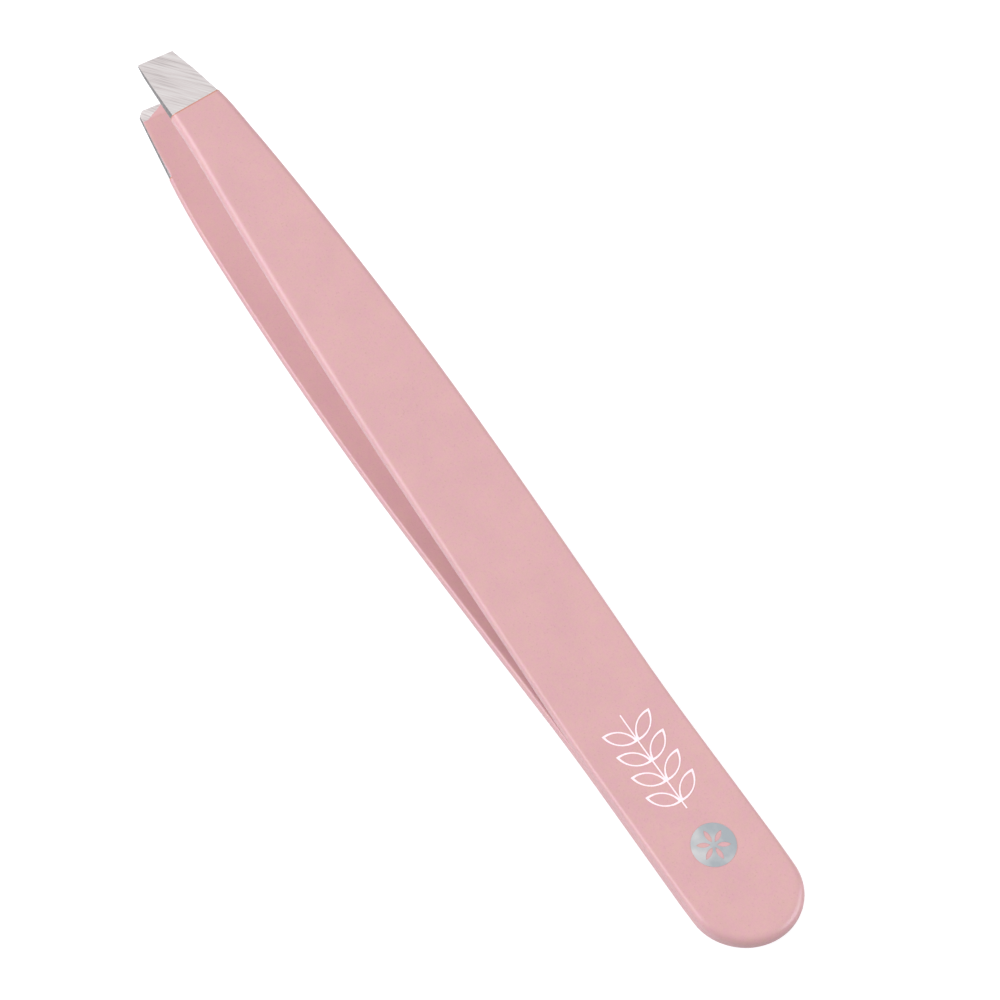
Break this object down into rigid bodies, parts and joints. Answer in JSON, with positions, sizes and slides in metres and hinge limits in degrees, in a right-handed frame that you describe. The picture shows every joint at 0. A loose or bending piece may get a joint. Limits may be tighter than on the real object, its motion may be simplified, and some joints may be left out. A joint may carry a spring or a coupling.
{
  "type": "slant tweezers",
  "caption": "Sprung two-blade slant tweezers: flat blades joined at a round heel bow apart and bend in to ground, slanted gripping tips.",
  "frame": {"origin": "centre of the bounding box, on the plane where the two blades meet at the heel", "axes": "+X along the length from the round heel to the tips, +Y across the blades towards the longer corner of the slanted tips, +Z in the opening direction, out of the marked face"},
  "size_m": [0.095, 0.0096, 0.0144],
  "materials": {
    "blade_steel": "ground across the tips, fine diagonal scratches",
    "weld": "fused steel, hidden between the blades",
    "lacquer": "satin baked lacquer, pale pink",
    "foil": "hot-stamped silver foil",
    "ink": "thin pale pad-printed ink"
  },
  "bodies": {
    "heel": {"upper_blade_heel": "blade_steel", "lower_blade_heel": "blade_steel", "weld_nuggets": "weld", "heel_lacquer": "lacquer", "foil_badge": "foil", "printed_sprig": "ink"},
    "upper_arm": {"upper_blade_arm": "blade_steel", "upper_arm_lacquer": "lacquer"},
    "lower_arm": {"lower_blade_arm": "blade_steel", "lower_arm_lacquer": "lacquer"}
  },
  "joints": [
    {"name": "upper_arm_flexure", "type": "hinge", "parent": "heel", "child": "upper_arm", "pos_m": [-0.01357, 0, 0.00201], "axis": [0, 1, 0], "range_deg": [0, 4.05], "stiffness_Nm_per_rad": 1.5},
    {"name": "lower_arm_flexure", "type": "hinge", "parent": "heel", "child": "lower_arm", "pos_m": [-0.01357, 0, -0.00201], "axis": [0, -1, 0], "range_deg": [0, 4.05], "stiffness_Nm_per_rad": 1.5}
  ]
}
